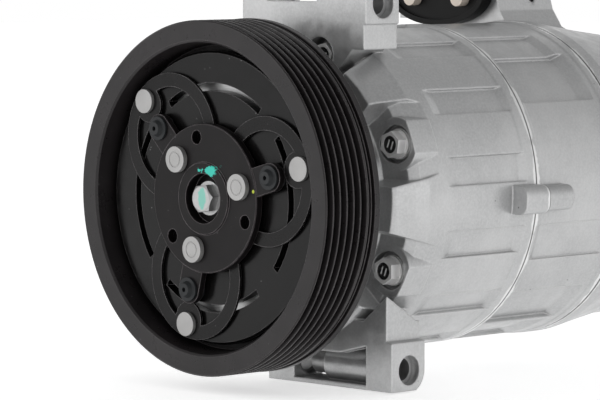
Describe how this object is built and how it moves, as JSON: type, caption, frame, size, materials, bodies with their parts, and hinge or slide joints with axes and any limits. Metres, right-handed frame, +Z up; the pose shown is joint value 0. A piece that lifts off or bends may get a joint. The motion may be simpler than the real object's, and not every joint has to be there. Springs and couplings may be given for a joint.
{
  "type": "automotive air conditioning compressor",
  "caption": "Cylindrical belt-driven refrigerant compressor with a grooved clutch pulley, a bolted cast body, two mounting ears and a capped port block.",
  "frame": {"origin": "on the shaft axis at the middle of the belt track, half way across the pulley's grooves", "axes": "+Y along the shaft from the clutch to the rear head, +X to the right seen from the clutch, +Z up, parallel to the ears' faces"},
  "size_m": [0.1398, 0.2465, 0.1658],
  "materials": {
    "front_housing": "fine sand-cast and silver painted",
    "cylinder_block": "fine sand-cast and silver painted",
    "rear_head": "fine sand-cast and silver painted",
    "front_o_ring": "smooth",
    "head_gasket": "dark coated",
    "valve_plate": "ground",
    "suction_reed": "ground",
    "discharge_reed": "ground",
    "reed_retainer": "ground",
    "through_bolts": "zinc plated",
    "bolt_washers": "zinc plated",
    "dowel_pins": "ground",
    "mount_sleeves": "plain",
    "port_cap": "moulded",
    "port_plugs": "moulded",
    "relief_valve": "machined",
    "shaft_seal": "smooth",
    "seal_snap_ring": "ground",
    "shaft_needle_bearing": "ground",
    "fixed_gear": "ground",
    "adjusting_screw": "ground",
    "coil_shell": "coated",
    "coil_winding": "potted",
    "coil_snap_ring": "ground",
    "bearing_inner_race": "ground",
    "nose_snap_ring": "ground",
    "pivot_ball": "ground",
    "pulley": "satin black coat",
    "bearing_outer_race": "ground",
    "bearing_seals": "smooth",
    "bearing_balls": "ground",
    "bearing_cage": "moulded",
    "shaft": "ground",
    "cam_rotor": "ground",
    "drive_hub": "dark coat",
    "inner_rivets": "upset heads",
    "rubber_stoppers": "matt",
    "hub_bolt": "zinc plated",
    "gap_shim": "ground",
    "leaf_springs": "dark coat",
    "armature_plate": "dark coat",
    "outer_rivets": "upset heads",
    "wobble_plate": "machined",
    "moving_gear": "ground",
    "plate_thrust_bearing": "ground",
    "rotor_thrust_bearing": "ground",
    "ball_cup_1": "machined",
    "piston_1": "machined",
    "ball_cup_2": "machined",
    "piston_2": "machined",
    "ball_cup_3": "machined",
    "piston_3": "machined",
    "ball_cup_4": "machined",
    "piston_4": "machined",
    "ball_cup_5": "machined",
    "piston_5": "machined",
    "ball_cup_6": "machined",
    "piston_6": "machined",
    "ball_cup_7": "machined",
    "piston_7": "machined"
  },
  "bodies": {
    "housing": {"front_housing": "front_housing", "cylinder_block": "cylinder_block", "rear_head": "rear_head", "front_o_ring": "front_o_ring", "head_gasket": "head_gasket", "valve_plate": "valve_plate", "suction_reed": "suction_reed", "discharge_reed": "discharge_reed", "reed_retainer": "reed_retainer", "through_bolts": "through_bolts", "bolt_washers": "bolt_washers", "dowel_pins": "dowel_pins", "mount_sleeves": "mount_sleeves", "port_cap": "port_cap", "port_plugs": "port_plugs", "relief_valve": "relief_valve", "shaft_seal": "shaft_seal", "seal_snap_ring": "seal_snap_ring", "shaft_needle_bearing": "shaft_needle_bearing", "fixed_gear": "fixed_gear", "adjusting_screw": "adjusting_screw", "coil_shell": "coil_shell", "coil_winding": "coil_winding", "coil_snap_ring": "coil_snap_ring", "bearing_inner_race": "bearing_inner_race", "nose_snap_ring": "nose_snap_ring", "pivot_ball": "pivot_ball"},
    "pulley": {"pulley": "pulley", "bearing_outer_race": "bearing_outer_race", "bearing_seals": "bearing_seals"},
    "ball_cage": {"bearing_balls": "bearing_balls", "bearing_cage": "bearing_cage"},
    "shaft": {"shaft": "shaft", "cam_rotor": "cam_rotor", "drive_hub": "drive_hub", "inner_rivets": "inner_rivets", "rubber_stoppers": "rubber_stoppers", "hub_bolt": "hub_bolt", "gap_shim": "gap_shim", "leaf_springs": "leaf_springs"},
    "armature": {"armature_plate": "armature_plate", "outer_rivets": "outer_rivets"},
    "wobble_plate": {"wobble_plate": "wobble_plate", "moving_gear": "moving_gear"},
    "plate_thrust_bearing": {"plate_thrust_bearing": "plate_thrust_bearing"},
    "rotor_thrust_bearing": {"rotor_thrust_bearing": "rotor_thrust_bearing"},
    "ball_cup_1": {"ball_cup_1": "ball_cup_1"},
    "piston_1": {"piston_1": "piston_1"},
    "ball_cup_2": {"ball_cup_2": "ball_cup_2"},
    "piston_2": {"piston_2": "piston_2"},
    "ball_cup_3": {"ball_cup_3": "ball_cup_3"},
    "piston_3": {"piston_3": "piston_3"},
    "ball_cup_4": {"ball_cup_4": "ball_cup_4"},
    "piston_4": {"piston_4": "piston_4"},
    "ball_cup_5": {"ball_cup_5": "ball_cup_5"},
    "piston_5": {"piston_5": "piston_5"},
    "ball_cup_6": {"ball_cup_6": "ball_cup_6"},
    "piston_6": {"piston_6": "piston_6"},
    "ball_cup_7": {"ball_cup_7": "ball_cup_7"},
    "piston_7": {"piston_7": "piston_7"}
  },
  "joints": [
    {"name": "pulley_spin", "type": "hinge", "parent": "housing", "child": "pulley", "pos_m": [0, 0, 0], "axis": [0, 1, 0], "continuous": true},
    {"name": "shaft_spin", "type": "hinge", "parent": "housing", "child": "shaft", "pos_m": [0, 0.09572, 0], "axis": [0, 1, 0], "continuous": true},
    {"name": "armature_pull", "type": "slide", "parent": "shaft", "child": "armature", "axis": [0, 1, 0], "range_m": [0, 0.0005], "stiffness_N_per_m": 20000, "deforming": ["leaf_springs"]},
    {"name": "ball_cage_spin", "type": "hinge", "parent": "housing", "child": "ball_cage", "pos_m": [0, 0, 0], "axis": [0, 1, 0], "continuous": true},
    {"name": "wobble_nutation", "type": "hinge", "parent": "shaft", "child": "wobble_plate", "pos_m": [0, 0.09572, 0], "axis": [0, 0.9336, 0.3584], "continuous": true},
    {"name": "plate_bearing_spin", "type": "hinge", "parent": "shaft", "child": "plate_thrust_bearing", "pos_m": [0, 0.09572, 0], "axis": [0, 0.9336, 0.3584], "continuous": true},
    {"name": "rotor_bearing_spin", "type": "hinge", "parent": "housing", "child": "rotor_thrust_bearing", "pos_m": [0, 0.09572, 0], "axis": [0, 1, 0], "continuous": true},
    {"name": "cup_1_turn", "type": "hinge", "parent": "wobble_plate", "child": "ball_cup_1", "pos_m": [0.02655, 0.08533, 0.02706], "axis": [0, 0.9336, 0.3584], "continuous": true},
    {"name": "piston_1_stroke", "type": "hinge", "parent": "ball_cup_1", "child": "piston_1", "pos_m": [0.02655, 0.08533, 0.02706], "axis": [0, 1, 0], "continuous": true},
    {"name": "cup_2_turn", "type": "hinge", "parent": "wobble_plate", "child": "ball_cup_2", "pos_m": [-0.00611, 0.08181, 0.03625], "axis": [0, 0.9336, 0.3584], "continuous": true},
    {"name": "piston_2_stroke", "type": "hinge", "parent": "ball_cup_2", "child": "piston_2", "pos_m": [-0.00611, 0.08181, 0.03625], "axis": [0, 1, 0], "continuous": true},
    {"name": "cup_3_turn", "type": "hinge", "parent": "wobble_plate", "child": "ball_cup_3", "pos_m": [-0.03417, 0.08876, 0.01814], "axis": [0, 0.9336, 0.3584], "continuous": true},
    {"name": "piston_3_stroke", "type": "hinge", "parent": "ball_cup_3", "child": "piston_3", "pos_m": [-0.03417, 0.08876, 0.01814], "axis": [0, 1, 0], "continuous": true},
    {"name": "cup_4_turn", "type": "hinge", "parent": "wobble_plate", "child": "ball_cup_4", "pos_m": [-0.03649, 0.10095, -0.01363], "axis": [0, 0.9336, 0.3584], "continuous": true},
    {"name": "piston_4_stroke", "type": "hinge", "parent": "ball_cup_4", "child": "piston_4", "pos_m": [-0.03649, 0.10095, -0.01363], "axis": [0, 1, 0], "continuous": true},
    {"name": "cup_5_turn", "type": "hinge", "parent": "wobble_plate", "child": "ball_cup_5", "pos_m": [-0.01134, 0.10921, -0.03513], "axis": [0, 0.9336, 0.3584], "continuous": true},
    {"name": "piston_5_stroke", "type": "hinge", "parent": "ball_cup_5", "child": "piston_5", "pos_m": [-0.01134, 0.10921, -0.03513], "axis": [0, 1, 0], "continuous": true},
    {"name": "cup_6_turn", "type": "hinge", "parent": "wobble_plate", "child": "ball_cup_6", "pos_m": [0.02235, 0.10731, -0.03018], "axis": [0, 0.9336, 0.3584], "continuous": true},
    {"name": "piston_6_stroke", "type": "hinge", "parent": "ball_cup_6", "child": "piston_6", "pos_m": [0.02235, 0.10731, -0.03018], "axis": [0, 1, 0], "continuous": true},
    {"name": "cup_7_turn", "type": "hinge", "parent": "wobble_plate", "child": "ball_cup_7", "pos_m": [0.03921, 0.09668, -0.0025], "axis": [0, 0.9336, 0.3584], "continuous": true},
    {"name": "piston_7_stroke", "type": "hinge", "parent": "ball_cup_7", "child": "piston_7", "pos_m": [0.03921, 0.09668, -0.0025], "axis": [0, 1, 0], "continuous": true}
  ],
  "couplings": [
    {"joint": "ball_cage_spin", "follows": "pulley_spin", "ratio": 0.56897},
    {"joint": "wobble_nutation", "follows": "shaft_spin", "ratio": -1},
    {"joint": "plate_bearing_spin", "follows": "shaft_spin", "ratio": -0.5},
    {"joint": "rotor_bearing_spin", "follows": "shaft_spin", "ratio": 0.5},
    {"joint": "cup_1_turn", "follows": "shaft_spin", "ratio": 1},
    {"joint": "piston_1_stroke", "follows": "shaft_spin", "ratio": 1},
    {"joint": "cup_2_turn", "follows": "shaft_spin", "ratio": 1},
    {"joint": "piston_2_stroke", "follows": "shaft_spin", "ratio": 1},
    {"joint": "cup_3_turn", "follows": "shaft_spin", "ratio": 1},
    {"joint": "piston_3_stroke", "follows": "shaft_spin", "ratio": 1},
    {"joint": "cup_4_turn", "follows": "shaft_spin", "ratio": 1},
    {"joint": "piston_4_stroke", "follows": "shaft_spin", "ratio": 1},
    {"joint": "cup_5_turn", "follows": "shaft_spin", "ratio": 1},
    {"joint": "piston_5_stroke", "follows": "shaft_spin", "ratio": 1},
    {"joint": "cup_6_turn", "follows": "shaft_spin", "ratio": 1},
    {"joint": "piston_6_stroke", "follows": "shaft_spin", "ratio": 1},
    {"joint": "cup_7_turn", "follows": "shaft_spin", "ratio": 1},
    {"joint": "piston_7_stroke", "follows": "shaft_spin", "ratio": 1}
  ]
}
